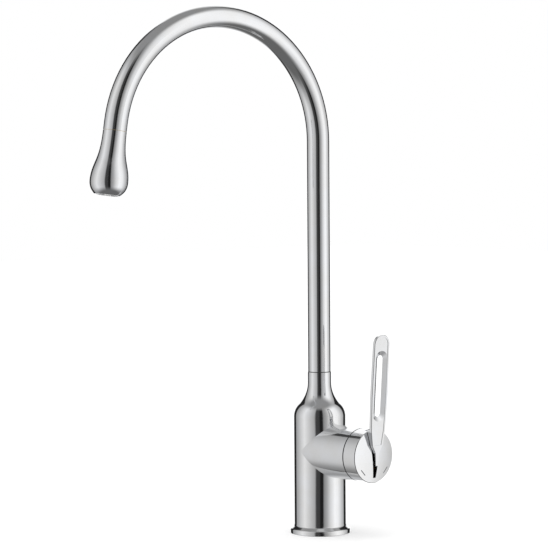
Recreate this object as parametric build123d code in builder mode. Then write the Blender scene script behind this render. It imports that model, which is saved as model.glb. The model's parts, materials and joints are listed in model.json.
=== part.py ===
from build123d import *
import os
from math import asin, atan, cos, degrees, radians, sin, sqrt

# Three way filtered water tap. Millimetres, +Z up, origin on the column's axis at the deck face.
# The barrel with the lever points along +X. The spout hangs over -Y, swung a little towards -X.

os.makedirs("parts", exist_ok=True)

# ---------------------------------------------------------------- fits and general clearances
running_gap = 0.05        # radial gap of a part that turns in another
sliding_gap = 0.10        # radial gap of a loose plastic guide
seat_gap = 0.03           # radial gap of a part that is pushed or screwed into its seat
body_gap = 0.30           # gap between faces that pass each other when something turns
wall = 2.5                # cast brass wall behind a bore that carries water

# ---------------------------------------------------------------- column, base ring and barrel
body_radius = 23.0
body_bottom = 8.0         # underside of the column, where it sits on the base ring
shoulder_start = 102.0
shoulder_angle = 46.0     # steepest lean of the shoulder, from the vertical
shoulder_low_radius = 16.7
neck_radius = 10.4
neck_top = 141.0
skirt_radius = 22.0       # spigot under the column that centres the base ring
skirt_bottom = 1.0
flange_radius = 26.6
flange_rim = 3.8          # height at which the rim starts to lean in
flange_neck_height = 6.9
flange_edge_radii = [0.5, 2.2, 2.0]
gasket_width = 2.0
gasket_depth = 1.8
gasket_inset = 1.2        # from the outside of the rim to the gasket
barrel_height = 73.0
barrel_end = 51.7

# ---------------------------------------------------------------- water ways
insert_bore = 19.0        # lower bore of the column, which takes the inlet block
insert_seat = 36.0
inlet_circle = 11.0       # radius on which the three inlets stand
inlet_thread_radius = 4.5
inlet_thread_depth = 10.0
inlet_angles = {"hot": -130.0, "cold": 130.0, "filtered": 0.0}
stud_radius = 3.4
stud_depth = 14.0
gallery_radius = 2.5
seal_width = 1.5
seal_thickness = 1.2
outlet_radius = 2.3
hot_cold_port_level = -5.0    # levels are measured from the barrel's axis
filtered_port_level = -9.5
filtered_outlet_level = 2.0
mixed_outlet_level = 10.0
mixed_rise_offset = 7.0       # the mixed water rises this far in front of the column's axis
riser_radius = 3.0
riser_bore = 2.0
riser_seat = 80.0
riser_top = 106.0

# ---------------------------------------------------------------- neck bearing
neck_bore = 8.6
neck_bore_bottom = 90.0
stop_rise = 5.0           # from the bottom of the neck's bore up to the stop screw
stop_height = neck_bore_bottom + stop_rise
stem_bottom = stop_height - 3.5     # the stop's tip stays in the stem's groove
stem_bore = 6.2
stem_spigot = 14.0        # length of the stem inside the spout tube
slide_ring_heights = [stop_height + 6.0, neck_top - 5.0]
slide_ring_height = 3.0
slide_ring_depth = 1.0
stem_seal_heights = [stop_height + 15.0, stop_height + 25.0]
stem_seal_radius = 0.9
washer_thickness = 0.6
washer_radius = 9.9
stop_screw_radius = 2.0
stop_tip_radius = 1.3
stop_groove_depth = 1.3
stop_screw_length = 14.0
stop_socket = 1.1
swing_each_way = 70.0     # the stop lets the spout swing this far each side of straight ahead
rest_swing = -5.7         # where the spout stands at rest, from straight ahead

# ---------------------------------------------------------------- spout
tube_radius = 10.0
tube_wall = 1.2
spring_height = 342.0     # height at which the straight tube turns into the arch
arch_radius = 105.0
arch_sweep = 171.3
arch_tail = 6.2           # straight end of the tube, longer than the adapter's spigot in it
hose_radius = 3.0
hose_bore = 2.0
hose_start = 108.0
socket_radius = 4.4
socket_bottom = 98.0
socket_top = 116.0
socket_legs = 3           # legs that centre the socket in the stem's bore
socket_leg_height = 3.0
socket_leg_width = 2.2
socket_leg_root = 0.5     # how far a leg reaches into the socket's wall
riser_seal_height = 103.0
riser_seal_radius = 0.5

# ---------------------------------------------------------------- nozzle, measured down from its seam
nozzle_length = 53.0
nozzle_bulge_radius = 16.2
nozzle_bulge_at = 41.5
nozzle_waist_radius = 12.05
nozzle_waist_at = 21.5
nozzle_rim_radius = 11.4
nozzle_throat = 8.0
nozzle_thread_depth = 12.0
nozzle_thread_radius = 8.9
nozzle_hollow_radius = 11.5
nozzle_hollow_top = 16.0
nozzle_hollow_wide = 34.0
nozzle_hollow_end = 39.0
seam_gap = 0.3
adapter_spigot = 5.0
adapter_bore = 6.4
adapter_seal_at = 8.0
adapter_seal_radius = 0.7
aerator_seat = 41.5
aerator_radius = 9.5
aerator_wall = 1.3
aerator_recess = 0.5      # aerator face behind the nozzle's rim
aerator_core_top = 45.0
aerator_core_height = 4.0
aerator_cell = 1.9        # pitch of the holes in the aerator core
aerator_cell_radius = 0.62
aerator_inner_web = 0.3   # least plastic between a hole and the jet's bore
aerator_outer_web = 0.5   # least plastic between a hole and the core's edge
mesh_thickness = 0.5
mesh_pitch = 1.6
mesh_hole = 1.1
jet_start = 22.0          # where the filtered jet's barb begins
jet_collar = 30.0         # the hose ends against the collar here
jet_bore = 1.3

# ---------------------------------------------------------------- cartridge, measured out along the barrel
chamber_seat = 15.0
chamber_end = 38.0
cartridge_radius = 17.5
base_thickness = 6.0
port_seal_width = 1.2
port_seal_depth = 1.0
pin_radius = 1.5
pin_length = 2.5
pin_circle = 14.0
pin_angles = [25.0, 155.0]
disc_radius = 13.0
gasket_sheet = 1.0
fixed_disc_thickness = 3.5
disc_film = 0.05          # gap between the two ceramic discs
moving_disc_radius = 10.5
moving_disc_thickness = 3.0
moving_disc_rest = -1.75  # disc centre from the barrel's axis with the water shut off
mixing_pocket_radius = 6.0
mixing_pocket_depth = 1.5
driver_thickness = 8.0
driver_width = 17.6
driver_height = 16.0
driver_socket_floor = 2.4
driver_socket = 5.3
housing_bore = 15.0
housing_front = 39.5
housing_opening = 11.1
housing_end = 42.0
rotor_start = 37.0
rotor_end = 48.0
rotor_flange = 2.2
rotor_radius = 11.0
rotor_slot_width = 6.6
rotor_slot_height = 10.4
rail_length = 6.0
rail_thickness = 2.4
rail_height = 16.0
rotor_seal_radius = 0.65
nut_thread_radius = 18.95
nut_bore = 11.6
nut_relief_start = 50.0    # the bore opens out here, where the lever's hub swings
nut_relief_bore = 14.4
nut_nose_radius = 18.0
nut_nose_end = 57.0
nut_slot_width = 4.0
nut_slot_depth = 2.0

# ---------------------------------------------------------------- handle cap, lever and spindle
gap_ring_width = 0.9
gap_ring_radius = 22.3
cap_edge = 66.5           # edge of the cap's face, out along the barrel
cap_edge_break = 0.4
cap_dome = 2.2
cap_cavity = 20.5
cap_collar = 4.6          # length of the collar that runs on the nut
cap_plate = 3.0
slot_tip = -18.6          # levels of the V slot, from the barrel's axis
slot_tip_width = 3.1
slot_rim_width = 13.2
slot_floor = 4.5          # depth of the slot's cut behind the edge of the face
access_radius = 2.2
mark_length = 7.0
mark_width = 0.8
mark_depth = 0.5
mark_circle = 18.6
mark_angle = 46.0         # each side of straight down
pivot_at = 44.0
pivot_pin_radius = 1.5
spindle_boss = 4.2
spindle_width = 6.0
spindle_square = 5.5
spindle_end = 62.0
spindle_arm_radius = 1.5
ball_radius = 2.5
ball_at = 34.0
blade_lean = 4.1
blade_face = 70.8         # front of the blade at the barrel's height
blade_thickness = 3.6
blade_tip = -8.0
blade_tip_width = 2.8
blade_tail_width = 5.0    # where the tail that dips into the V slot ends
blade_tail_top = 3.2
blade_leaf_width = 12.6
blade_leaf_at = 10.0
blade_rim_width = 16.8
blade_width = 18.8
blade_wide_at = 52.0
blade_top_width = 17.8
blade_top = 105.0
blade_top_radius = 8.2
blade_front_bevel = 0.3
blade_back_bevel = 1.0
panel_border = 2.0        # raised border round the sunk front of the blade
panel_depth = 0.4
finger_slot_width = 6.8
finger_slot_bottom = 34.5
finger_slot_top = 87.5
slot_dish_width = 3.9     # the slot's sloping edge in the sunk front
slot_dish_depth = 1.9
pad_bottom = 5.0
pad_inset = 0.3
pad_cover = 1.2           # from the pad and the neck to the front of the blade
pad_gap = 0.5
hub_start = 56.0
hub_end = 62.5
hub_width = 8.6
hub_top = 5.0
hub_bottom = -7.0
hub_neck_top = 21.5
hub_neck_width = 8.4
hub_foot_width = 2.2
grub_at = 59.5
grub_radius = 1.95
grub_length = 3.8
grub_socket = 1.0

# ---------------------------------------------------------------- planes and axes
barrel_axis = Axis((0, 0, barrel_height), (1, 0, 0))
barrel_side = Plane(origin=(0, 0, barrel_height), x_dir=(1, 0, 0), z_dir=(0, -1, 0))


def across_barrel(distance):
    """Plane square to the barrel: x is +Y and y is up, out at this distance."""
    return Plane(origin=(distance, 0, barrel_height), x_dir=(0, 1, 0), z_dir=(1, 0, 0))


def radial_plane(angle):
    """Upright plane through the column's axis: x points out at this angle and y is up."""
    turn = radians(angle)
    return Plane(origin=(0, 0, 0), x_dir=(cos(turn), sin(turn), 0), z_dir=(sin(turn), -cos(turn), 0))


spout_plane = radial_plane(-90 + rest_swing)
arch_end = radians(180 - arch_sweep)


def along_arch_end(distance):
    """Point of the spout plane, this far down the straight line on which the arch ends."""
    return (arch_radius * (1 + cos(arch_end)) + distance * sin(arch_end),
            spring_height + arch_radius * sin(arch_end) - distance * cos(arch_end))


seam_point = spout_plane.from_local_coords(Vector(*along_arch_end(arch_tail), 0))
flow = spout_plane.x_dir * sin(arch_end) - Vector(0, 0, 1) * cos(arch_end)
nozzle_axis = Axis(seam_point, flow)
nozzle_side = Plane(origin=seam_point, x_dir=spout_plane.z_dir.cross(flow), z_dir=-spout_plane.z_dir)


def across_nozzle(distance):
    """Plane square to the nozzle, this far down from its seam."""
    return Plane(origin=seam_point + flow * distance, x_dir=spout_plane.z_dir, z_dir=flow)


def turned(plane, points, axis):
    """Add the solid that a closed outline makes when it is turned about the axis."""
    with BuildSketch(plane) as section:
        with BuildLine():
            Polyline(*points, close=True)
        make_face()
    revolve(section.sketch, axis=axis)


def ring_seal(plane, axis, centre, thickness, mode=Mode.ADD):
    """Add an O ring of this section radius, its centre given on the plane."""
    with BuildSketch(plane) as section:
        with Locations(centre):
            Circle(thickness)
    revolve(section.sketch, axis=axis, mode=mode)


def bored(plane, radius, depth, centres=((0, 0),), mode=Mode.SUBTRACT):
    """Drill round holes of this depth from the plane, or add pins with another mode."""
    with BuildSketch(plane) as holes:
        with Locations(*centres):
            Circle(radius)
    extrude(holes.sketch, amount=depth, mode=mode)


# ---------------------------------------------------------------- derived places
def inlet_point(name):
    turn = radians(inlet_angles[name])
    return (inlet_circle * cos(turn), inlet_circle * sin(turn))


inlet_points = [inlet_point(name) for name in inlet_angles]
hot_port = (inlet_point("hot")[1], hot_cold_port_level)
cold_port = (inlet_point("cold")[1], hot_cold_port_level)
filtered_port = (0, filtered_port_level)
filtered_outlet = (0, filtered_outlet_level)
mixed_outlet = (0, mixed_outlet_level)
ports = [hot_port, cold_port, filtered_port, filtered_outlet, mixed_outlet]
pin_points = [(pin_circle * cos(radians(turn)), pin_circle * sin(radians(turn))) for turn in pin_angles]

stem_radius = neck_bore - running_gap
stem_top = neck_top + running_gap + washer_thickness + stem_spigot
washer_bottom = neck_top + running_gap
tube_bottom = washer_bottom + washer_thickness
tube_bore = tube_radius - tube_wall
spigot_radius = tube_bore - seat_gap
gasket_outer = flange_radius - gasket_inset
gasket_inner = gasket_outer - gasket_width

base_end = chamber_seat + base_thickness
gasket_end = base_end + gasket_sheet
fixed_disc_end = gasket_end + fixed_disc_thickness
moving_disc_start = fixed_disc_end + disc_film
moving_disc_end = moving_disc_start + moving_disc_thickness
driver_end = moving_disc_end + driver_thickness
cap_start = barrel_end + gap_ring_width + body_gap
cap_back = cap_edge - cap_plate
cap_bore = nut_nose_radius + running_gap
dome_radius = (body_radius ** 2 + cap_dome ** 2) / (2 * cap_dome)

# ================================================================ fixed body
with BuildPart() as base_flange:
    with BuildSketch(Plane.XZ):
        with BuildLine():
            outline = FilletPolyline(
                (skirt_radius + sliding_gap, 0),
                (flange_radius, 0),
                (flange_radius, flange_rim),
                (body_radius, flange_neck_height),
                (body_radius, body_bottom),
                radius=flange_edge_radii)
            Polyline(outline @ 1, (skirt_radius + sliding_gap, body_bottom), outline @ 0)
        make_face()
    revolve(axis=Axis.Z)
    with BuildSketch(Plane.XY):
        Circle(gasket_outer)
        Circle(gasket_inner, mode=Mode.SUBTRACT)
    extrude(amount=gasket_depth, mode=Mode.SUBTRACT)
base_flange.part.label = "base_flange"
export_step(base_flange.part, "parts/base_flange.step")

with BuildPart() as base_gasket:
    with BuildSketch(Plane.XY):
        Circle(gasket_outer - seat_gap)
        Circle(gasket_inner + seat_gap, mode=Mode.SUBTRACT)
    extrude(amount=gasket_depth)
base_gasket.part.label = "base_gasket"
export_step(base_gasket.part, "parts/base_gasket.step")

with BuildPart() as tap_body:
    # column, with the two arcs of its shoulder
    with BuildSketch(Plane.XZ):
        with BuildLine():
            shoulder_high_radius = ((body_radius - neck_radius)
                                    / (1 - cos(radians(shoulder_angle))) - shoulder_low_radius)
            foot = Polyline((0, skirt_bottom), (skirt_radius, skirt_bottom), (skirt_radius, body_bottom),
                            (body_radius, body_bottom), (body_radius, shoulder_start))
            low = JernArc(foot @ 1, (0, 1), shoulder_low_radius, shoulder_angle)
            high = JernArc(low @ 1, low % 1, shoulder_high_radius, -shoulder_angle)
            Polyline(high @ 1, (neck_radius, neck_top), (0, neck_top), (0, skirt_bottom))
        make_face()
    revolve(axis=Axis.Z)
    # barrel, the same diameter as the column
    with BuildSketch(across_barrel(0)):
        Circle(body_radius)
    extrude(amount=barrel_end)
    # lower bore and the three galleries that rise from the inlet block
    bored(Plane.XY.offset(skirt_bottom), insert_bore, insert_seat - skirt_bottom)
    for name, port in (("hot", hot_port), ("cold", cold_port), ("filtered", filtered_port)):
        rise_x = inlet_point(name)[0]
        bored(Plane.XY.offset(insert_seat), gallery_radius, barrel_height + port[1] - insert_seat,
              [inlet_point(name)])
        bored(across_barrel(rise_x), gallery_radius, chamber_seat - rise_x, [port])
    # cartridge chamber and the nut's bore
    bored(across_barrel(chamber_seat), cartridge_radius + sliding_gap, barrel_end - chamber_seat)
    bored(across_barrel(chamber_end), nut_thread_radius + seat_gap, barrel_end - chamber_end)
    bored(across_barrel(chamber_seat - pin_length), pin_radius + seat_gap, pin_length, pin_points)
    # neck bore, with the mixed and the filtered water below it
    bored(Plane.XY.offset(neck_bore_bottom), neck_bore, neck_top - neck_bore_bottom)
    bored(across_barrel(0), outlet_radius, chamber_seat, [filtered_outlet])
    bored(Plane.XY.offset(barrel_height + filtered_outlet_level), outlet_radius,
          neck_bore_bottom - barrel_height - filtered_outlet_level)
    bored(Plane.XY.offset(riser_seat), riser_radius + seat_gap, neck_bore_bottom - riser_seat)
    bored(across_barrel(mixed_rise_offset), outlet_radius, chamber_seat - mixed_rise_offset, [mixed_outlet])
    bored(Plane.XY.offset(barrel_height + mixed_outlet_level), outlet_radius,
          neck_bore_bottom + outlet_radius - barrel_height - mixed_outlet_level, [(mixed_rise_offset, 0)])
    # hole for the stop screw, at the back
    bored(Plane(origin=(0, 0, stop_height), z_dir=(0, 1, 0)), stop_screw_radius + seat_gap, body_radius)
tap_body.part.label = "tap_body"
export_step(tap_body.part, "parts/tap_body.step")

with BuildPart() as inlet_block:
    bored(Plane.XY.offset(skirt_bottom), insert_bore - seat_gap, insert_seat - skirt_bottom, mode=Mode.ADD)
    bored(Plane.XY.offset(skirt_bottom), inlet_thread_radius, inlet_thread_depth, inlet_points)
    bored(Plane.XY.offset(skirt_bottom), gallery_radius, insert_seat - skirt_bottom, inlet_points)
    bored(Plane.XY.offset(insert_seat - seal_thickness), gallery_radius + seal_width, seal_thickness,
          inlet_points)
    bored(Plane.XY.offset(skirt_bottom), stud_radius, stud_depth)
inlet_block.part.label = "inlet_block"
export_step(inlet_block.part, "parts/inlet_block.step")

with BuildPart() as inlet_block_seals:
    with BuildSketch(Plane.XY.offset(insert_seat - seal_thickness)):
        with Locations(*inlet_points):
            Circle(gallery_radius + seal_width - seat_gap)
            Circle(gallery_radius + seat_gap, mode=Mode.SUBTRACT)
    extrude(amount=seal_thickness)
inlet_block_seals.part.label = "inlet_block_seals"
export_step(inlet_block_seals.part, "parts/inlet_block_seals.step")

with BuildPart() as filter_riser_pipe:
    with BuildSketch(Plane.XY.offset(riser_seat)):
        Circle(riser_radius)
        Circle(riser_bore, mode=Mode.SUBTRACT)
    extrude(amount=riser_top - riser_seat)
filter_riser_pipe.part.label = "filter_riser_pipe"
export_step(filter_riser_pipe.part, "parts/filter_riser_pipe.step")

with BuildPart() as stop_screw:
    tip_start = neck_bore - stop_groove_depth + running_gap
    screw_end = neck_bore + sliding_gap + stop_screw_length
    turned(Plane.YZ, [
        (tip_start, stop_height), (tip_start, stop_height + stop_tip_radius),
        (neck_bore + sliding_gap, stop_height + stop_tip_radius),
        (neck_bore + sliding_gap, stop_height + stop_screw_radius),
        (screw_end, stop_height + stop_screw_radius), (screw_end, stop_height)],
        Axis((0, 0, stop_height), (0, 1, 0)))
    with BuildSketch(Plane(origin=(0, screw_end, stop_height), z_dir=(0, -1, 0))):
        RegularPolygon(stop_socket, 6)
    extrude(amount=2 * stop_socket, mode=Mode.SUBTRACT)
stop_screw.part.label = "stop_screw"
export_step(stop_screw.part, "parts/stop_screw.step")

# ================================================================ cartridge, fixed pieces
with BuildPart() as cartridge_base:
    bored(across_barrel(chamber_seat), cartridge_radius, base_thickness, mode=Mode.ADD)
    bored(across_barrel(chamber_seat - pin_length), pin_radius, pin_length, pin_points, Mode.ADD)
    bored(across_barrel(chamber_seat), outlet_radius, base_thickness, ports)
    bored(across_barrel(chamber_seat), outlet_radius + port_seal_width, port_seal_depth, ports)
cartridge_base.part.label = "cartridge_base"
export_step(cartridge_base.part, "parts/cartridge_base.step")

with BuildPart() as cartridge_port_seals:
    with BuildSketch(across_barrel(chamber_seat)):
        with Locations(*ports):
            Circle(outlet_radius + port_seal_width - seat_gap)
            Circle(outlet_radius + seat_gap, mode=Mode.SUBTRACT)
    extrude(amount=port_seal_depth)
cartridge_port_seals.part.label = "cartridge_port_seals"
export_step(cartridge_port_seals.part, "parts/cartridge_port_seals.step")

with BuildPart() as disc_gasket:
    bored(across_barrel(base_end), disc_radius, gasket_sheet, mode=Mode.ADD)
    bored(across_barrel(base_end), outlet_radius, gasket_sheet, ports)
disc_gasket.part.label = "disc_gasket"
export_step(disc_gasket.part, "parts/disc_gasket.step")

with BuildPart() as fixed_ceramic_disc:
    bored(across_barrel(gasket_end), disc_radius, fixed_disc_thickness, mode=Mode.ADD)
    bored(across_barrel(gasket_end), outlet_radius, fixed_disc_thickness, ports)
fixed_ceramic_disc.part.label = "fixed_ceramic_disc"
export_step(fixed_ceramic_disc.part, "parts/fixed_ceramic_disc.step")

with BuildPart() as cartridge_housing:
    turned(barrel_side, [
        (base_end, disc_radius + seat_gap), (fixed_disc_end, disc_radius + seat_gap),
        (fixed_disc_end, housing_bore), (housing_front, housing_bore),
        (housing_front, housing_opening), (housing_end, housing_opening),
        (housing_end, cartridge_radius), (base_end, cartridge_radius)], barrel_axis)
cartridge_housing.part.label = "cartridge_housing"
export_step(cartridge_housing.part, "parts/cartridge_housing.step")

with BuildPart() as cartridge_nut:
    turned(barrel_side, [
        (housing_end, nut_bore), (nut_relief_start, nut_bore), (nut_relief_start, nut_relief_bore),
        (nut_nose_end, nut_relief_bore), (nut_nose_end, nut_nose_radius),
        (barrel_end, nut_nose_radius), (barrel_end, nut_thread_radius),
        (housing_end, nut_thread_radius)], barrel_axis)
    with BuildSketch(across_barrel(nut_nose_end)):
        Rectangle(2 * nut_nose_radius + wall, nut_slot_width)
    extrude(amount=-nut_slot_depth, mode=Mode.SUBTRACT)
cartridge_nut.part.label = "cartridge_nut"
export_step(cartridge_nut.part, "parts/cartridge_nut.step")

with BuildPart() as cap_ring:
    with BuildSketch(across_barrel(barrel_end)):
        Circle(gap_ring_radius)
        Circle(nut_nose_radius + seat_gap, mode=Mode.SUBTRACT)
    extrude(amount=gap_ring_width)
cap_ring.part.label = "cap_ring"
export_step(cap_ring.part, "parts/cap_ring.step")

# ================================================================ spout
with BuildPart() as spout_tube:
    with BuildLine(spout_plane):
        rise = Line((0, tube_bottom), (0, spring_height))
        arch = JernArc(rise @ 1, rise % 1, arch_radius, -arch_sweep)
        Line(arch @ 1, along_arch_end(arch_tail))
    with BuildSketch(Plane.XY.offset(tube_bottom)):
        Circle(tube_radius)
        Circle(tube_bore, mode=Mode.SUBTRACT)
    sweep()
spout_tube.part.label = "spout_tube"
export_step(spout_tube.part, "parts/spout_tube.step")

with BuildPart() as spout_stem:
    turned(Plane.XZ, [
        (stem_bore, stem_bottom), (stem_radius, stem_bottom), (stem_radius, neck_top),
        (spigot_radius, neck_top + running_gap), (spigot_radius, stem_top), (stem_bore, stem_top)], Axis.Z)
    for height in slide_ring_heights:
        with BuildSketch(Plane.XY.offset(height)):
            Circle(stem_radius + seat_gap)
            Circle(stem_radius - slide_ring_depth, mode=Mode.SUBTRACT)
        extrude(amount=slide_ring_height, mode=Mode.SUBTRACT)
    for height in stem_seal_heights:
        with BuildSketch(Plane.XY.offset(height - stem_seal_radius - seat_gap)):
            Circle(stem_radius + seat_gap)
            Circle(neck_bore - running_gap / 2 - 2 * stem_seal_radius, mode=Mode.SUBTRACT)
        extrude(amount=2 * (stem_seal_radius + seat_gap), mode=Mode.SUBTRACT)
    # groove for the stop screw's tip: it lets the spout swing and keeps it from lifting out
    groove_floor = stem_radius - stop_groove_depth
    tip_angle = degrees(asin((stop_tip_radius + sliding_gap) / groove_floor))
    groove_start = 90 - (swing_each_way - rest_swing) - tip_angle
    groove_low = stop_height - stop_tip_radius - sliding_gap
    groove_high = stop_height + stop_tip_radius + sliding_gap
    with BuildSketch(radial_plane(groove_start)):
        with BuildLine():
            Polyline((groove_floor, groove_low), (neck_bore, groove_low), (neck_bore, groove_high),
                     (groove_floor, groove_high), close=True)
        make_face()
    revolve(axis=Axis.Z, revolution_arc=2 * (swing_each_way + tip_angle), mode=Mode.SUBTRACT)
spout_stem.part.label = "spout_stem"
export_step(spout_stem.part, "parts/spout_stem.step")

with BuildPart() as spout_slide_rings:
    for height in slide_ring_heights:
        with BuildSketch(Plane.XY.offset(height + seat_gap)):
            Circle(neck_bore - running_gap / 2)
            Circle(stem_radius - slide_ring_depth + seat_gap, mode=Mode.SUBTRACT)
        extrude(amount=slide_ring_height - 2 * seat_gap)
spout_slide_rings.part.label = "spout_slide_rings"
export_step(spout_slide_rings.part, "parts/spout_slide_rings.step")

with BuildPart() as spout_o_rings:
    for height in stem_seal_heights:
        ring_seal(Plane.XZ, Axis.Z, (neck_bore - running_gap / 2 - stem_seal_radius, height),
                  stem_seal_radius)
spout_o_rings.part.label = "spout_o_rings"
export_step(spout_o_rings.part, "parts/spout_o_rings.step")

with BuildPart() as neck_washer:
    with BuildSketch(Plane.XY.offset(washer_bottom)):
        Circle(washer_radius)
        Circle(spigot_radius + seat_gap, mode=Mode.SUBTRACT)
    extrude(amount=washer_thickness)
neck_washer.part.label = "neck_washer"
export_step(neck_washer.part, "parts/neck_washer.step")

with BuildPart() as filter_tube_socket:
    turned(Plane.XZ, [
        (riser_radius + running_gap, socket_bottom), (socket_radius, socket_bottom),
        (socket_radius, socket_top), (hose_radius + seat_gap, socket_top),
        (hose_radius + seat_gap, hose_start), (hose_bore, hose_start),
        (hose_bore, riser_top + body_gap), (riser_radius + running_gap, riser_top + body_gap)], Axis.Z)
    with BuildSketch(Plane.XY.offset(socket_bottom)):
        with PolarLocations((socket_radius + stem_bore - seat_gap) / 2, socket_legs):
            Rectangle(stem_bore - seat_gap - socket_radius + 2 * socket_leg_root, socket_leg_width)
    extrude(amount=socket_leg_height)
    with BuildSketch(Plane.XY.offset(socket_bottom)):
        Circle(stem_bore + wall)
        Circle(stem_bore - seat_gap, mode=Mode.SUBTRACT)
    extrude(amount=socket_leg_height, mode=Mode.SUBTRACT)
    ring_seal(Plane.XZ, Axis.Z, (riser_radius + running_gap + riser_seal_radius, riser_seal_height),
              riser_seal_radius + seat_gap, Mode.SUBTRACT)
filter_tube_socket.part.label = "filter_tube_socket"
export_step(filter_tube_socket.part, "parts/filter_tube_socket.step")

with BuildPart() as riser_o_ring:
    ring_seal(Plane.XZ, Axis.Z, (riser_radius + running_gap + riser_seal_radius, riser_seal_height),
              riser_seal_radius)
riser_o_ring.part.label = "riser_o_ring"
export_step(riser_o_ring.part, "parts/riser_o_ring.step")

with BuildPart() as filter_tube:
    with BuildLine(spout_plane):
        hose_rise = Line((0, hose_start), (0, spring_height))
        hose_arch = JernArc(hose_rise @ 1, hose_rise % 1, arch_radius, -arch_sweep)
        Line(hose_arch @ 1, along_arch_end(arch_tail + jet_collar))
    with BuildSketch(Plane.XY.offset(hose_start)):
        Circle(hose_radius)
        Circle(hose_bore, mode=Mode.SUBTRACT)
    sweep()
filter_tube.part.label = "filter_tube"
export_step(filter_tube.part, "parts/filter_tube.step")

# ================================================================ nozzle
with BuildPart() as nozzle:
    with BuildSketch(nozzle_side):
        with BuildLine():
            flare = Spline((tube_radius, seam_gap), (nozzle_waist_radius, nozzle_waist_at),
                           (nozzle_bulge_radius, nozzle_bulge_at), tangents=[(0, 1), (0, 1)])
            Spline((nozzle_bulge_radius, nozzle_bulge_at), (nozzle_rim_radius, nozzle_length),
                   tangents=[(0, 1), (-1, 1)])
            Polyline((nozzle_rim_radius, nozzle_length), (aerator_radius + seat_gap, nozzle_length),
                     (aerator_radius + seat_gap, aerator_seat), (nozzle_throat, aerator_seat),
                     (nozzle_throat, nozzle_hollow_end), (nozzle_hollow_radius, nozzle_hollow_wide),
                     (nozzle_throat, nozzle_hollow_top), (nozzle_throat, nozzle_thread_depth),
                     (nozzle_thread_radius + seat_gap, nozzle_thread_depth),
                     (nozzle_thread_radius + seat_gap, seam_gap), (tube_radius, seam_gap))
        make_face()
    revolve(axis=nozzle_axis)
nozzle.part.label = "nozzle"
export_step(nozzle.part, "parts/nozzle.step")

with BuildPart() as nozzle_adapter:
    turned(nozzle_side, [
        (adapter_bore, -adapter_spigot), (spigot_radius, -adapter_spigot), (spigot_radius, 0),
        (nozzle_thread_radius, 0), (nozzle_thread_radius, nozzle_thread_depth),
        (adapter_bore, nozzle_thread_depth)], nozzle_axis)
    with BuildSketch(across_nozzle(adapter_seal_at - adapter_seal_radius - seat_gap)):
        Circle(nozzle_thread_radius + seat_gap)
        Circle(nozzle_thread_radius - 2 * adapter_seal_radius, mode=Mode.SUBTRACT)
    extrude(amount=2 * (adapter_seal_radius + seat_gap), mode=Mode.SUBTRACT)
nozzle_adapter.part.label = "nozzle_adapter"
export_step(nozzle_adapter.part, "parts/nozzle_adapter.step")

with BuildPart() as nozzle_o_ring:
    ring_seal(nozzle_side, nozzle_axis, (nozzle_thread_radius - adapter_seal_radius, adapter_seal_at),
              adapter_seal_radius)
nozzle_o_ring.part.label = "nozzle_o_ring"
export_step(nozzle_o_ring.part, "parts/nozzle_o_ring.step")

aerator_start = aerator_seat + seal_thickness
aerator_end = nozzle_length - aerator_recess
aerator_bore = aerator_radius - aerator_wall
mesh_start = aerator_core_top + aerator_core_height

with BuildPart() as aerator_seal:
    with BuildSketch(across_nozzle(aerator_seat)):
        Circle(aerator_radius - seat_gap)
        Circle(nozzle_throat, mode=Mode.SUBTRACT)
    extrude(amount=seal_thickness)
aerator_seal.part.label = "aerator_seal"
export_step(aerator_seal.part, "parts/aerator_seal.step")

with BuildPart() as aerator_housing:
    turned(nozzle_side, [
        (aerator_bore, aerator_start), (aerator_radius, aerator_start), (aerator_radius, aerator_end),
        (aerator_bore - aerator_wall / 2, aerator_end),
        (aerator_bore - aerator_wall / 2, mesh_start + mesh_thickness + seat_gap),
        (aerator_bore, mesh_start + mesh_thickness + seat_gap)], nozzle_axis)
aerator_housing.part.label = "aerator_housing"
export_step(aerator_housing.part, "parts/aerator_housing.step")

with BuildPart() as aerator_core:
    with BuildSketch(across_nozzle(aerator_core_top)):
        Circle(aerator_bore - seat_gap)
        Circle(hose_radius + seat_gap, mode=Mode.SUBTRACT)
        cell_rows = range(-int(aerator_bore / aerator_cell), int(aerator_bore / aerator_cell) + 1)
        cells = [(column * aerator_cell, row * aerator_cell)
                 for row in cell_rows for column in cell_rows
                 if hose_radius + aerator_cell_radius + aerator_inner_web
                 < sqrt(row ** 2 + column ** 2) * aerator_cell
                 < aerator_bore - aerator_cell_radius - aerator_outer_web]
        with Locations(*cells):
            Circle(aerator_cell_radius, mode=Mode.SUBTRACT)
    extrude(amount=aerator_core_height)
aerator_core.part.label = "aerator_core"
export_step(aerator_core.part, "parts/aerator_core.step")

with BuildPart() as aerator_mesh:
    with BuildSketch(across_nozzle(mesh_start)):
        Circle(aerator_bore - seat_gap)
        Circle(hose_radius + seat_gap, mode=Mode.SUBTRACT)
        mesh_rows = range(-int(aerator_bore / mesh_pitch), int(aerator_bore / mesh_pitch) + 1)
        holes = [(column * mesh_pitch, row * mesh_pitch)
                 for row in mesh_rows for column in mesh_rows
                 if hose_radius + mesh_hole < sqrt(row ** 2 + column ** 2) * mesh_pitch
                 < aerator_bore - mesh_hole]
        with Locations(*holes):
            Rectangle(mesh_hole, mesh_hole, mode=Mode.SUBTRACT)
    extrude(amount=mesh_thickness)
aerator_mesh.part.label = "aerator_mesh"
export_step(aerator_mesh.part, "parts/aerator_mesh.step")

with BuildPart() as filter_jet:
    turned(nozzle_side, [
        (jet_bore, jet_start), (hose_bore - seat_gap, jet_start), (hose_bore - seat_gap, jet_collar),
        (hose_radius, jet_collar), (hose_radius, aerator_end), (jet_bore, aerator_end)], nozzle_axis)
filter_jet.part.label = "filter_jet"
export_step(filter_jet.part, "parts/filter_jet.step")

# ================================================================ handle: pieces that turn about the barrel
rail_offset = driver_width / 2 + body_gap + rail_thickness / 2

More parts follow.
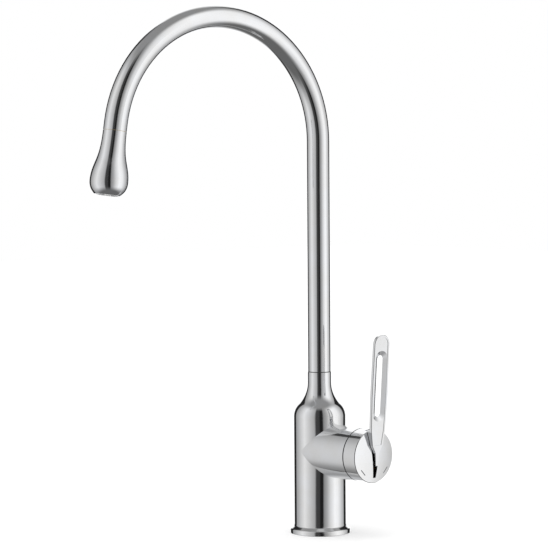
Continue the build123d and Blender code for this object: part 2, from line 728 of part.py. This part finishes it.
with BuildPart() as cartridge_rotor:
    turned(barrel_side, [
        (rotor_start, 0), (rotor_start, housing_bore - body_gap),
        (rotor_start + rotor_flange, housing_bore - body_gap),
        (rotor_start + rotor_flange, rotor_radius), (rotor_end, rotor_radius), (rotor_end, 0)], barrel_axis)
    with BuildSketch(across_barrel(rotor_start)):
        with Locations((rail_offset, 0), (-rail_offset, 0)):
            Rectangle(rail_thickness, rail_height)
    extrude(amount=-rail_length)
    with BuildSketch(across_barrel(rotor_start)):
        Rectangle(rotor_slot_width, rotor_slot_height)
    extrude(amount=rotor_end - rotor_start, mode=Mode.SUBTRACT)
    with BuildSketch(Plane(origin=(pivot_at, 0, barrel_height), z_dir=(0, 1, 0))):
        Circle(pivot_pin_radius + seat_gap)
    extrude(amount=rotor_radius, both=True, mode=Mode.SUBTRACT)
    ring_seal(barrel_side, barrel_axis, ((housing_front + housing_end) / 2, housing_opening
              - running_gap - rotor_seal_radius), rotor_seal_radius + seat_gap, Mode.SUBTRACT)
cartridge_rotor.part.label = "cartridge_rotor"
export_step(cartridge_rotor.part, "parts/cartridge_rotor.step")

with BuildPart() as rotor_o_ring:
    ring_seal(barrel_side, barrel_axis, ((housing_front + housing_end) / 2, housing_opening
              - running_gap - rotor_seal_radius), rotor_seal_radius)
rotor_o_ring.part.label = "rotor_o_ring"
export_step(rotor_o_ring.part, "parts/rotor_o_ring.step")

with BuildPart() as pivot_pin:
    with BuildSketch(Plane(origin=(pivot_at, 0, barrel_height), z_dir=(0, 1, 0))):
        Circle(pivot_pin_radius)
    extrude(amount=rotor_radius - body_gap, both=True)
pivot_pin.part.label = "pivot_pin"
export_step(pivot_pin.part, "parts/pivot_pin.step")


def cap_outline():
    """Half section of the cap with its domed face, for turning about the barrel."""
    side = Polyline((cap_start, 0), (cap_start, body_radius), (cap_edge - cap_edge_break, body_radius),
                    (cap_edge, body_radius - cap_edge_break))
    dome = RadiusArc(side @ 1, (cap_edge + cap_dome, 0), dome_radius)
    Line(dome @ 1, (cap_start, 0))


def mark_shapes():
    """Two short marks low on the face, each square to its radius."""
    for side in (-1, 1):
        turn = radians(side * mark_angle)
        with Locations((mark_circle * sin(turn), -mark_circle * cos(turn))):
            SlotOverall(mark_length, mark_width, rotation=degrees(turn))


mark_floor = cap_edge + cap_dome * (1 - (mark_circle / body_radius) ** 2) - mark_depth

with BuildPart() as handle_cap:
    with BuildSketch(barrel_side):
        with BuildLine():
            cap_outline()
        make_face()
    revolve(axis=barrel_axis)
    bored(across_barrel(cap_start), cap_bore, cap_collar)
    bored(across_barrel(cap_start + cap_collar), cap_cavity, cap_back - cap_start - cap_collar)
    # V slot: open through the face and through the rim at the top
    with BuildSketch(across_barrel(cap_edge - slot_floor)):
        with BuildLine():
            spread = (slot_rim_width - slot_tip_width) / 2 / (body_radius - slot_tip)
            over = slot_rim_width / 2 + spread * wall
            Polyline((-slot_tip_width / 2, slot_tip), (slot_tip_width / 2, slot_tip),
                     (over, body_radius + wall), (-over, body_radius + wall), close=True)
        make_face()
    extrude(amount=slot_floor + 2 * cap_dome, mode=Mode.SUBTRACT)
    with BuildSketch(across_barrel(mark_floor)):
        mark_shapes()
    extrude(amount=2 * cap_dome, mode=Mode.SUBTRACT)
    with BuildSketch(Plane(origin=(grub_at, 0, barrel_height), z_dir=(0, 0, -1))):
        Circle(access_radius)
    extrude(amount=body_radius + wall, mode=Mode.SUBTRACT)
handle_cap.part.label = "handle_cap"
export_step(handle_cap.part, "parts/handle_cap.step")

with BuildPart() as cap_marks:
    with BuildSketch(barrel_side):
        with BuildLine():
            cap_outline()
        make_face()
    revolve(axis=barrel_axis)
    with BuildSketch(across_barrel(mark_floor)):
        mark_shapes()
    extrude(amount=2 * cap_dome, mode=Mode.INTERSECT)
cap_marks.part.label = "cap_marks"
export_step(cap_marks.part, "parts/cap_marks.step")

# ======================================================== lever: pieces that tilt about the pivot pin
lean = radians(blade_lean)
blade_back = Plane(
    origin=(blade_face - blade_thickness / cos(lean), 0, barrel_height),
    x_dir=(0, 1, 0), z_dir=(cos(lean), 0, -sin(lean)))


def blade_half(inset):
    """Right half of the blade's outline; its border is drawn this far inside, above the tail."""
    foot = [(0, blade_tip), (blade_tip_width / 2, blade_tip), (blade_tail_width / 2, blade_tail_top),
            (blade_leaf_width / 2, blade_leaf_at)]
    if inset:
        foot = [(0, blade_leaf_at), (blade_leaf_width / 2 - inset, blade_leaf_at)]
    Polyline(*foot, (blade_rim_width / 2 - inset, body_radius), (blade_width / 2 - inset, blade_wide_at),
             (blade_top_width / 2 - inset, blade_top - inset), (0, blade_top - inset))
    mirror(about=Plane.YZ)


# pad behind the leaf
with BuildPart() as lever_pad:
    with BuildSketch(across_barrel(cap_edge + pad_gap)):
        with BuildLine():
            Polyline((-blade_tail_width / 2, pad_bottom), (blade_tail_width / 2, pad_bottom),
                     (blade_leaf_width / 2 - pad_inset, blade_leaf_at),
                     (blade_rim_width / 2 - pad_inset, body_radius),
                     (-blade_rim_width / 2 + pad_inset, body_radius),
                     (-blade_leaf_width / 2 + pad_inset, blade_leaf_at), close=True)
        make_face()
    extrude(amount=blade_face - pad_cover - cap_edge - pad_gap)

with BuildPart() as lever:
    with BuildSketch(blade_back.offset(blade_back_bevel)):
        with BuildLine():
            blade_half(0)
        make_face()
        top_corners = vertices().group_by(Axis.Y)[-1]
        fillet(top_corners, blade_top_radius)
    extrude(amount=blade_thickness - blade_front_bevel - blade_back_bevel)
    across_blade = Axis(blade_back.origin, blade_back.z_dir)
    extrude(faces().sort_by(across_blade)[-1], amount=blade_front_bevel, taper=45)
    extrude(faces().sort_by(across_blade)[0], amount=blade_back_bevel, taper=45)
    # sunk front inside a raised border
    with BuildSketch(blade_back.offset(blade_thickness)):
        with BuildLine():
            blade_half(panel_border)
        make_face()
        top_corners = vertices().group_by(Axis.Y)[-1]
        fillet(top_corners, blade_top_radius - panel_border)
    extrude(amount=-panel_depth, mode=Mode.SUBTRACT)
    # finger slot, with a sloping edge in the sunk front
    with BuildSketch(blade_back.offset(blade_thickness - panel_depth)):
        with Locations((0, (finger_slot_bottom + finger_slot_top) / 2)):
            SlotOverall(finger_slot_top - finger_slot_bottom + 2 * slot_dish_width,
                        finger_slot_width + 2 * slot_dish_width, rotation=90)
    extrude(amount=-slot_dish_depth, taper=degrees(atan(slot_dish_width / slot_dish_depth)),
            mode=Mode.SUBTRACT)
    with BuildSketch(blade_back):
        with Locations((0, (finger_slot_bottom + finger_slot_top) / 2)):
            SlotOverall(finger_slot_top - finger_slot_bottom, finger_slot_width, rotation=90)
    extrude(amount=blade_thickness, mode=Mode.SUBTRACT)
    add(lever_pad.part)
    # clear of the cap's dome
    with BuildSketch(Plane(origin=barrel_side.origin + Vector(pad_gap, 0, 0), x_dir=barrel_side.x_dir,
                           z_dir=barrel_side.z_dir)):
        with BuildLine():
            cap_outline()
        make_face()
    revolve(axis=barrel_axis, mode=Mode.SUBTRACT)
    # neck through the V slot, and the hub behind the cap's face that grips the spindle
    with BuildSketch(across_barrel(hub_end)):
        with BuildLine():
            Polyline((-hub_foot_width / 2, hub_bottom), (hub_foot_width / 2, hub_bottom),
                     (hub_neck_width / 2, hub_neck_top), (-hub_neck_width / 2, hub_neck_top), close=True)
        make_face()
    extrude(amount=blade_face - pad_cover - hub_end)
    with BuildSketch(across_barrel(hub_start)):
        with Locations((0, (hub_top + hub_bottom) / 2)):
            Rectangle(hub_width, hub_top - hub_bottom)
    extrude(amount=hub_end - hub_start)
    with BuildSketch(across_barrel(hub_start)):
        Rectangle(spindle_square + 2 * seat_gap, spindle_square + 2 * seat_gap)
    extrude(amount=spindle_end + body_gap - hub_start, mode=Mode.SUBTRACT)
    with BuildSketch(Plane(origin=(grub_at, 0, barrel_height), z_dir=(0, 0, -1))):
        Circle(grub_radius + seat_gap)
    extrude(amount=-hub_bottom, mode=Mode.SUBTRACT)
lever.part.label = "lever"
export_step(lever.part, "parts/lever.step")

with BuildPart() as cartridge_stem:
    with BuildSketch(Plane(origin=(pivot_at, 0, barrel_height), z_dir=(0, 1, 0))):
        Circle(spindle_boss)
    extrude(amount=spindle_width / 2, both=True)
    with BuildSketch(across_barrel(pivot_at)):
        Rectangle(spindle_square, spindle_square)
    extrude(amount=spindle_end - pivot_at)
    bored(across_barrel(ball_at), spindle_arm_radius, pivot_at - ball_at, mode=Mode.ADD)
    with BuildSketch(barrel_side):
        with Locations((ball_at, 0)):
            Circle(ball_radius)
        with Locations((ball_at, -ball_radius)):
            Rectangle(2 * ball_radius, 2 * ball_radius, mode=Mode.SUBTRACT)
    revolve(axis=barrel_axis)
    with BuildSketch(Plane(origin=(pivot_at, 0, barrel_height), z_dir=(0, 1, 0))):
        Circle(pivot_pin_radius + running_gap)
    extrude(amount=spindle_width, both=True, mode=Mode.SUBTRACT)
cartridge_stem.part.label = "cartridge_stem"
export_step(cartridge_stem.part, "parts/cartridge_stem.step")

with BuildPart() as grub_screw:
    grub_top = spindle_square / 2 + seat_gap
    with BuildSketch(Plane(origin=(grub_at, 0, barrel_height - grub_top), z_dir=(0, 0, -1))):
        Circle(grub_radius)
    extrude(amount=grub_length)
    with BuildSketch(Plane(origin=(grub_at, 0, barrel_height - grub_top - grub_length), z_dir=(0, 0, 1))):
        RegularPolygon(grub_socket, 6)
    extrude(amount=2 * grub_socket, mode=Mode.SUBTRACT)
grub_screw.part.label = "grub_screw"
export_step(grub_screw.part, "parts/grub_screw.step")

# ================================================================ slide that carries the upper ceramic disc
with BuildPart() as disc_driver:
    with BuildSketch(across_barrel(moving_disc_end)):
        with Locations((0, moving_disc_rest)):
            Rectangle(driver_width, driver_height)
    extrude(amount=driver_thickness)
    with BuildSketch(across_barrel(driver_end)):
        Rectangle(driver_socket, driver_socket)
    extrude(amount=driver_socket_floor - driver_thickness, mode=Mode.SUBTRACT)
disc_driver.part.label = "disc_driver"
export_step(disc_driver.part, "parts/disc_driver.step")

with BuildPart() as moving_ceramic_disc:
    bored(across_barrel(moving_disc_start), moving_disc_radius, moving_disc_thickness,
          [(0, moving_disc_rest)], Mode.ADD)
    bored(across_barrel(moving_disc_start), mixing_pocket_radius, mixing_pocket_depth,
          [(0, filtered_outlet_level)])
moving_ceramic_disc.part.label = "moving_ceramic_disc"
export_step(moving_ceramic_disc.part, "parts/moving_ceramic_disc.step")
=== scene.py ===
import json
from math import cos, pi, radians, sin

import bmesh
import bpy
from mathutils import Matrix, Vector

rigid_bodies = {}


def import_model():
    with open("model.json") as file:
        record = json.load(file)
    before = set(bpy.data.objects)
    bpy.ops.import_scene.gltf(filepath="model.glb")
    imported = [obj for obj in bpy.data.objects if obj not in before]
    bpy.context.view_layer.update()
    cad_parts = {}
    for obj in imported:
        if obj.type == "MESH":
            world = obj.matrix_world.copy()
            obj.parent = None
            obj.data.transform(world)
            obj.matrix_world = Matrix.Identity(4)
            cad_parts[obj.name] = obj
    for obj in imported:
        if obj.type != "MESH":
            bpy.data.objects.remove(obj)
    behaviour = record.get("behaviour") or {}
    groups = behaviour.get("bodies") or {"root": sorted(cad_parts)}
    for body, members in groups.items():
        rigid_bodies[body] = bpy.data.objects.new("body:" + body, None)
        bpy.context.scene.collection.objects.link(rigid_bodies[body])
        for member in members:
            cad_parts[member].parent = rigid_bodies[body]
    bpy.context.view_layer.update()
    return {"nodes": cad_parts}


for leftover in list(bpy.data.objects):
    bpy.data.objects.remove(leftover)

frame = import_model()
nodes = frame["nodes"]
print("frame loaded,", len(nodes), "nodes")


# camera, where the photographer stood

cameraSettings = {
    "azimuth": 46.3,        # degrees round the column, from straight in front of the spout
    "distance": 2.017,      # metres from the column's axis
    "height": 0.342,
    "sensor": 36.0,         # millimetres
    "lens": 152.2,
    "turnLeft": 1.11,       # degrees, so that the column stands right of the middle
    "tiltDown": 3.27,
    "roll": -0.40,
}


def placeCamera(settings):
    data = bpy.data.cameras.new("camera")
    data.sensor_width = settings["sensor"]
    data.lens = settings["lens"]
    camera = bpy.data.objects.new("camera", data)
    bpy.context.scene.collection.objects.link(camera)
    azimuth = radians(settings["azimuth"])
    place = Vector((sin(azimuth), -cos(azimuth), 0)) * settings["distance"]
    place.z = settings["height"]
    turn = Matrix.Rotation(radians(settings["azimuth"] + settings["turnLeft"]), 4, "Z")
    nod = Matrix.Rotation(radians(90 - settings["tiltDown"]), 4, "X")
    roll = Matrix.Rotation(radians(settings["roll"]), 4, "Z")
    camera.matrix_world = Matrix.Translation(place) @ turn @ nod @ roll
    bpy.context.scene.camera = camera


placeCamera(cameraSettings)
bpy.context.scene.view_settings.view_transform = "Standard"
print("camera placed")


# shader tools

class Wire:
    # a shader socket that takes + - * / and > as Math nodes
    def __init__(self, board, socket):
        self.board, self.socket = board, socket

    def maths(self, operation, *others):
        return self.board.add("ShaderNodeMath", {"operation": operation}, dict(enumerate((self, *others))))

    def __add__(self, other):
        return self.maths("ADD", other)

    def __sub__(self, other):
        return self.maths("SUBTRACT", other)

    def __rsub__(self, other):
        return self * -1 + other

    def __mul__(self, other):
        return self.maths("MULTIPLY", other)

    def __truediv__(self, other):
        return self.maths("DIVIDE", other)

    def __gt__(self, other):
        return self.maths("GREATER_THAN", other)

    __radd__, __rmul__ = __add__, __mul__

    def step(self, low, high):
        # 0 below low, 1 above high, smooth between
        sockets = {"Value": self, "From Min": low, "From Max": high}
        return self.board.add("ShaderNodeMapRange", {"interpolation_type": "SMOOTHSTEP"}, sockets)


class Board:
    # one node tree, and the one way in which its nodes are made
    def __init__(self, tree):
        self.tree = tree
        tree.nodes.clear()

    def add(self, kind, settings=None, sockets=None, out=0):
        node = self.tree.nodes.new(kind)
        for name, value in (settings or {}).items():
            if name == "stops":
                ramp = node.color_ramp
                while len(ramp.elements) < len(value):
                    ramp.elements.new(0.5)
                for element, (position, colour) in zip(ramp.elements, value):
                    element.position, element.color = position, colour
            else:
                setattr(node, name, value)
        for name, value in (sockets or {}).items():
            if isinstance(value, Wire):
                self.tree.links.new(value.socket, node.inputs[name])
            else:
                node.inputs[name].default_value = value
        return Wire(self, node.outputs[out]) if node.outputs else node

    def mix(self, share, first, second):
        # blends two colours; the Mix node has its colour sockets at 6 and 7, and their result at 2
        return self.add("ShaderNodeMix", {"data_type": "RGBA"}, {0: share, 6: first, 7: second}, 2)

    def dot(self, vector, along):
        return self.add("ShaderNodeVectorMath", {"operation": "DOT_PRODUCT"}, {0: vector, 1: along}, "Value")

    def stretched(self, place, scale):
        return self.add("ShaderNodeVectorMath", {"operation": "MULTIPLY"}, {0: place, 1: scale})

    def noise(self, place, scale, detail=2.0, roughness=0.5):
        sockets = {"Vector": place, "Scale": scale, "Detail": detail, "Roughness": roughness}
        return self.add("ShaderNodeTexNoise", {}, sockets)

    def bump(self, height, depth, under=None):
        sockets = {"Height": height, "Distance": depth, "Strength": 1.0}
        if under:
            sockets["Normal"] = under
        return self.add("ShaderNodeBump", {}, sockets)


def grey(value):
    return (value, value, value, 1)


# studio: what the chrome mirrors, the light on everything else, a soft lamp and the floor

studioSettings = {
    "facing": 46.3,             # the side of the tap on which the studio's dark front strip stands
    "ring": [                   # round the tap: degrees from the front strip, brightness
        (-180, 1.20), (-154, 1.15), (-151, 0.02), (-128, 0.02), (-125, 0.40), (-110, 0.50), (-95, 0.68),
        (-72, 0.92), (-45, 0.66), (-24, 0.46), (-17, 0.06), (-2, 0.05), (1, 0.016), (12, 0.016),
        (17, 0.28), (30, 0.45), (45, 0.78), (68, 1.12), (88, 1.02), (109, 0.66), (125, 0.46),
        (128, 0.02), (151, 0.02), (154, 1.15), (180, 1.20)],
    "ceiling": 0.30,
    "ceilingFrom": (38.0, 66.0),    # degrees above the horizon
    "ground": 0.15,
    "groundFrom": (24.0, 58.0),     # degrees below it
    "fill": 0.7,                    # evens out what the chrome mirrors of itself
    "fillShare": 0.55,
    "fillDepth": 2.5,               # ray depth past which a ray has left the chrome twice
    "plain": 0.92,                  # what lights everything that isn't shiny
    "backdrop": 1.0,                # what the camera sees behind the tap
}

lampSettings = {
    "strength": 0.35,
    "spread": 35.0,             # degrees
    "turn": 20.0,
    "lean": 18.0,               # from straight above
}

floorSettings = {
    "halfWidth": 4.0,           # metres
    "paint": 0.92,
    "glow": 0.2,                # only for the camera, so that the floor meets the backdrop unseen
}


def lightStudio(settings):
    world = bpy.data.worlds.new("studio")
    bpy.context.scene.world = world
    world.use_nodes = True
    board = Board(world.node_tree)
    direction = board.add("ShaderNodeTexCoord", out="Generated")
    turn = radians(settings["facing"])
    ahead = board.dot(direction, (sin(turn), -cos(turn), 0))
    aside = board.dot(direction, (cos(turn), sin(turn), 0))
    height = board.dot(direction, (0, 0, 1)).maths("ARCSINE") * (180 / pi)
    around = aside.maths("ARCTAN2", ahead) / (2 * pi) + 0.5
    stops = [(degree / 360 + 0.5, grey(value)) for degree, value in settings["ring"]]
    ring = board.add("ShaderNodeValToRGB", {"stops": stops}, {"Fac": around})
    upper = board.mix(height.step(*settings["ceilingFrom"]), ring, grey(settings["ceiling"]))
    whole = board.mix((0 - height).step(*settings["groundFrom"]), upper, grey(settings["ground"]))
    bounced = board.add("ShaderNodeLightPath", out="Ray Depth") > settings["fillDepth"]
    filled = board.mix(bounced * settings["fillShare"], whole, grey(settings["fill"]))
    mirrored = board.add("ShaderNodeBackground", {}, {"Color": filled, "Strength": 1.0})
    plain = board.add("ShaderNodeBackground", {}, {"Color": grey(settings["plain"]), "Strength": 1.0})
    backdrop = board.add("ShaderNodeBackground", {}, {"Color": grey(settings["backdrop"]), "Strength": 1.0})
    glossy = board.add("ShaderNodeLightPath", out="Is Glossy Ray")
    unseen = board.add("ShaderNodeMixShader", {}, {0: glossy, 1: plain, 2: mirrored})
    camera = board.add("ShaderNodeLightPath", out="Is Camera Ray")
    light = board.add("ShaderNodeMixShader", {}, {0: camera, 1: unseen, 2: backdrop})
    board.add("ShaderNodeOutputWorld", {}, {"Surface": light})


def hangLamp(settings):
    data = bpy.data.lights.new("soft lamp", "SUN")
    data.energy = settings["strength"]
    data.angle = radians(settings["spread"])
    lamp = bpy.data.objects.new("soft lamp", data)
    bpy.context.scene.collection.objects.link(lamp)
    turn = Matrix.Rotation(radians(settings["turn"]), 4, "Z")
    lamp.matrix_world = turn @ Matrix.Rotation(radians(settings["lean"]), 4, "X")
    lamp.visible_glossy = False


def layFloor(settings):
    sheet = bmesh.new()
    bmesh.ops.create_grid(sheet, x_segments=1, y_segments=1, size=settings["halfWidth"])
    mesh = bpy.data.meshes.new("floor")
    sheet.to_mesh(mesh)
    sheet.free()
    floor = bpy.data.objects.new("floor", mesh)
    bpy.context.scene.collection.objects.link(floor)
    floor.visible_glossy = False    # the photograph's chrome mirrors no floor
    material = bpy.data.materials.new("studio floor")
    material.use_nodes = True
    board = Board(material.node_tree)
    paint = board.add("ShaderNodeBsdfDiffuse", {}, {"Color": grey(settings["paint"])})
    glow = board.add("ShaderNodeEmission", {}, {"Color": grey(1.0), "Strength": settings["glow"]})
    glowing = board.add("ShaderNodeAddShader", {}, {0: paint, 1: glow})
    camera = board.add("ShaderNodeLightPath", out="Is Camera Ray")
    seen = board.add("ShaderNodeMixShader", {}, {0: camera, 1: paint, 2: glowing})
    board.add("ShaderNodeOutputMaterial", {}, {"Surface": seen})
    mesh.materials.append(material)


lightStudio(studioSettings)
hangLamp(lampSettings)
layFloor(floorSettings)
print("studio set")


# finishes

def startFinish(name):
    material = bpy.data.materials.new(name)
    material.use_nodes = True
    board = Board(material.node_tree)
    place = board.add("ShaderNodeTexCoord", out="Object")
    return material, board, place


def endFinish(board, sockets):
    shader = board.add("ShaderNodeBsdfPrincipled", {}, sockets)
    board.add("ShaderNodeOutputMaterial", {}, {"Surface": shader})


chromeSettings = {
    "colour": (0.82, 0.83, 0.85),
    "warmer": (0.80, 0.80, 0.80),
    "warmerFrom": (0.3, 0.7),   # each From is the stretch of a noise's value over which its effect comes in
    "gloss": 0.045,             # roughness of a clean patch
    "hazeSize": 55.0,           # soft cloudiness of the polish, waves per metre
    "hazeFrom": (0.4, 0.75),
    "haze": 0.035,
    "hairSize": 1500.0,         # fine marks from wiping
    "hairFrom": (0.55, 0.8),
    "hair": 0.03,
    "hairDepth": 0.000004,
    "wornFrom": (0.35, 0.65),
    "worn": 0.05,               # duller rims
    "waveSize": 42.0,           # the slight unevenness of a buffed casting
    "wave": 0.00008,
}

# how the wiping marks run on X, Y and Z, how much of the unevenness a piece has,
# and the rims that hands and cloths reach: axis, place and reach
chromePieces = {
    "chrome_body": {
        "marks": (1, 1, 0.12), "uneven": 1.0, "rims": [("Z", 0.0, 0.010), ("X", 0.052, 0.004)]},
    "chrome_spout": {
        "marks": (1, 1, 0.08), "uneven": 0.4, "rims": [("Z", 0.295, 0.012)]},
    "chrome_handle": {
        "marks": (1, 0.3, 0.2), "uneven": 0.7, "rims": [("Z", 0.175, 0.015), ("X", 0.068, 0.003)]},
}


def chromeFinish(name, piece, settings):
    # polished chrome: haze, fine wiping marks, slight unevenness, and a duller touch at the rims
    material, board, place = startFinish(name)
    haze = board.noise(place, settings["hazeSize"], detail=3.0, roughness=0.6)
    marks = board.noise(board.stretched(place, piece["marks"]), settings["hairSize"])
    rimmed = 0
    for axis, at, reach in piece["rims"]:
        along = board.add("ShaderNodeSeparateXYZ", {}, {0: place}, axis)
        rimmed = (1 - ((along - at).maths("ABSOLUTE")).step(0, reach)) + rimmed
    worn = (rimmed * haze.step(*settings["wornFrom"])).maths("MINIMUM", 1)
    rough = haze.step(*settings["hazeFrom"]) * settings["haze"]
    rough = rough + marks.step(*settings["hairFrom"]) * settings["hair"]
    rough = rough + worn * settings["worn"] + settings["gloss"]
    tone = haze.step(*settings["warmerFrom"])
    colour = board.mix(tone, (*settings["colour"], 1), (*settings["warmer"], 1))
    uneven = board.noise(place, settings["waveSize"], detail=1.0)
    skin = board.bump(uneven, settings["wave"] * piece["uneven"])
    skin = board.bump(marks, settings["hairDepth"], skin)
    endFinish(board, {"Base Color": colour, "Metallic": 1.0, "Roughness": rough, "Normal": skin})
    return material


mouldedPieces = {               # the grain in waves per metre, and its depth in metres
    "black_pom": {
        "colour": (0.03, 0.03, 0.03), "rough": 0.38, "spread": 0.14, "grain": 2600.0, "depth": 0.00002},
    "black_rubber": {
        "colour": (0.03, 0.03, 0.03), "rough": 0.72, "spread": 0.16, "grain": 1900.0, "depth": 0.00004},
    "white_pom": {
        "colour": (0.88, 0.88, 0.86), "rough": 0.40, "spread": 0.12, "grain": 2200.0, "depth": 0.00002},
    "grey_plastic": {
        "colour": (0.45, 0.46, 0.48), "rough": 0.45, "spread": 0.14, "grain": 2400.0, "depth": 0.00003},
    "blue_hose": {
        "colour": (0.30, 0.45, 0.70), "rough": 0.35, "spread": 0.12, "grain": 1500.0, "depth": 0.00002},
    "ceramic": {
        "colour": (0.92, 0.92, 0.90), "rough": 0.12, "spread": 0.10, "grain": 3000.0, "depth": 0.000005},
    "mark_enamel": {
        "colour": (0.10, 0.10, 0.11), "rough": 0.35, "spread": 0.12, "grain": 2600.0, "depth": 0.00001},
}

mouldedSettings = {
    "cloudSize": 90.0,          # waves per metre of the uneven gloss
    "cloudFrom": (0.3, 0.7),
    "dustFrom": (0.45, 0.75),
    "dust": 0.5,                # share of the dusty tone in a cloud
    "grainFrom": (0.6, 0.8),
    "grainDust": 0.2,           # and in the grain
    "dustScale": 0.86,          # the dusty tone is the colour times this, and a little lighter
    "dustLift": 0.04,
}


def mouldedFinish(name, piece, settings):
    # moulded plastic, rubber, ceramic and enamel: a fine grain, uneven gloss, dust in the low spots
    material, board, place = startFinish(name)
    grain = board.noise(place, piece["grain"])
    cloud = board.noise(place, settings["cloudSize"], detail=3.0, roughness=0.6)
    clean = piece["colour"]
    dusty = tuple(channel * settings["dustScale"] + settings["dustLift"] for channel in clean)
    share = cloud.step(*settings["dustFrom"]) * settings["dust"]
    share = share + grain.step(*settings["grainFrom"]) * settings["grainDust"]
    colour = board.mix(share, (*clean, 1), (*dusty, 1))
    rough = cloud.step(*settings["cloudFrom"]) * piece["spread"] + piece["rough"]
    skin = board.bump(grain, piece["depth"])
    endFinish(board, {"Base Color": colour, "Roughness": rough, "Normal": skin})
    return material


turnedPieces = {
    "bare_brass": {"colour": (0.78, 0.62, 0.35), "dull": (0.62, 0.47, 0.26), "rough": 0.26},
    "stainless": {"colour": (0.66, 0.66, 0.66), "dull": (0.56, 0.56, 0.57), "rough": 0.24},
}

turnedSettings = {
    "lineSize": 6000.0,         # feed lines, waves per metre
    "lineRun": (0.15, 0.15, 1),
    "lineFrom": (0.4, 0.7),
    "lineRough": 0.08,
    "lineDepth": 0.00001,
    "patchSize": 130.0,
    "patchFrom": (0.42, 0.68),
    "patch": 0.8,               # share of the dulled tone in a patch
    "patchRough": 0.14,
}


def turnedFinish(name, piece, settings):
    # metal as it comes off the lathe: fine feed lines, and patches that have dulled
    material, board, place = startFinish(name)
    lines = board.noise(board.stretched(place, settings["lineRun"]), settings["lineSize"], detail=1.0)
    patches = board.noise(place, settings["patchSize"], detail=4.0, roughness=0.6)
    share = patches.step(*settings["patchFrom"]) * settings["patch"]
    colour = board.mix(share, (*piece["colour"], 1), (*piece["dull"], 1))
    rough = share * settings["patchRough"] + lines.step(*settings["lineFrom"]) * settings["lineRough"]
    rough = rough + piece["rough"]
    skin = board.bump(lines, settings["lineDepth"])
    endFinish(board, {"Base Color": colour, "Metallic": 1.0, "Roughness": rough, "Normal": skin})
    return material


finishes = {}
for maker, pieces, common in [
        (chromeFinish, chromePieces, chromeSettings),
        (mouldedFinish, mouldedPieces, mouldedSettings),
        (turnedFinish, turnedPieces, turnedSettings)]:
    for slotName, piece in pieces.items():
        finishes[slotName] = maker(slotName.replace("_", " "), piece, common)


def dress(part):
    # each node's slot names its finish, with a number after it where the name was taken
    for slot in part.material_slots:
        slot.material = finishes[slot.material.name.split(".")[0]]


for part in nodes.values():
    dress(part)
print("finishes on", len(nodes), "nodes")
